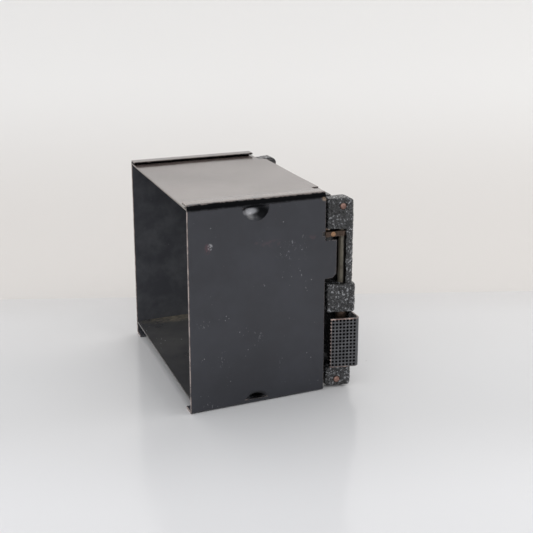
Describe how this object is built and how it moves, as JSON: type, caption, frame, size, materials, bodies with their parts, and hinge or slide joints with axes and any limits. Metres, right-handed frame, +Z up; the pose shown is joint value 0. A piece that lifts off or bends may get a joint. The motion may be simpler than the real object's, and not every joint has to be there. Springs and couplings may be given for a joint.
{
  "type": "sheet film holder",
  "caption": "Black sheet-metal film holder sleeve, open end to end, with guide lips along both sides and sprung rocker latches with dimpled thumb pads at one end.",
  "frame": {"origin": "centre of the base, on the table, under the middle of the overall box", "axes": "+X along the sleeve, from the open end to the latches; +Y from the front side plate to the back one; +Z up"},
  "size_m": [0.0864, 0.1132, 0.102],
  "materials": {
    "black_enamel": "satin to gloss black enamel, worn to metal on the edges",
    "crinkle_paint": "black crinkle paint",
    "pad_enamel": "satin black, worn on the edges",
    "copper": "dull copper",
    "brass": "dull brass",
    "browned_steel": "browned, worn steel",
    "bare_steel": "bare, dull steel",
    "spring_steel": "drawn spring wire"
  },
  "bodies": {
    "holder": {"front_side_plate": "black_enamel", "back_side_plate": "black_enamel", "top_plate": "black_enamel", "floor_plate": "black_enamel", "end_frame": "crinkle_paint", "front_latch_bar": "crinkle_paint", "back_latch_bar": "crinkle_paint", "front_bar_rivets": "copper", "back_bar_rivets": "copper", "front_latch_spring": "spring_steel", "back_latch_spring": "spring_steel"},
    "front_latch": {"front_latch_rod": "bare_steel", "front_rod_collars": "brass", "front_latch_arm": "browned_steel", "front_latch_pin": "brass", "front_thumb_pad": "pad_enamel", "front_pad_bracket": "browned_steel"},
    "back_latch": {"back_latch_rod": "bare_steel", "back_rod_collars": "brass", "back_latch_arm": "browned_steel", "back_latch_pin": "brass", "back_thumb_pad": "pad_enamel", "back_pad_bracket": "browned_steel"}
  },
  "joints": [
    {"name": "front_latch_press", "type": "hinge", "parent": "holder", "child": "front_latch", "pos_m": [0.0363, -0.0486, 0], "axis": [0, 0, 1], "range_deg": [0, 13], "stiffness_Nm_per_rad": 0.08, "springref_deg": -17.19, "deforming": ["front_latch_spring"]},
    {"name": "back_latch_press", "type": "hinge", "parent": "holder", "child": "back_latch", "pos_m": [0.0363, 0.0486, 0], "axis": [0, 0, -1], "range_deg": [0, 13], "stiffness_Nm_per_rad": 0.08, "springref_deg": -17.19, "deforming": ["back_latch_spring"]}
  ]
}
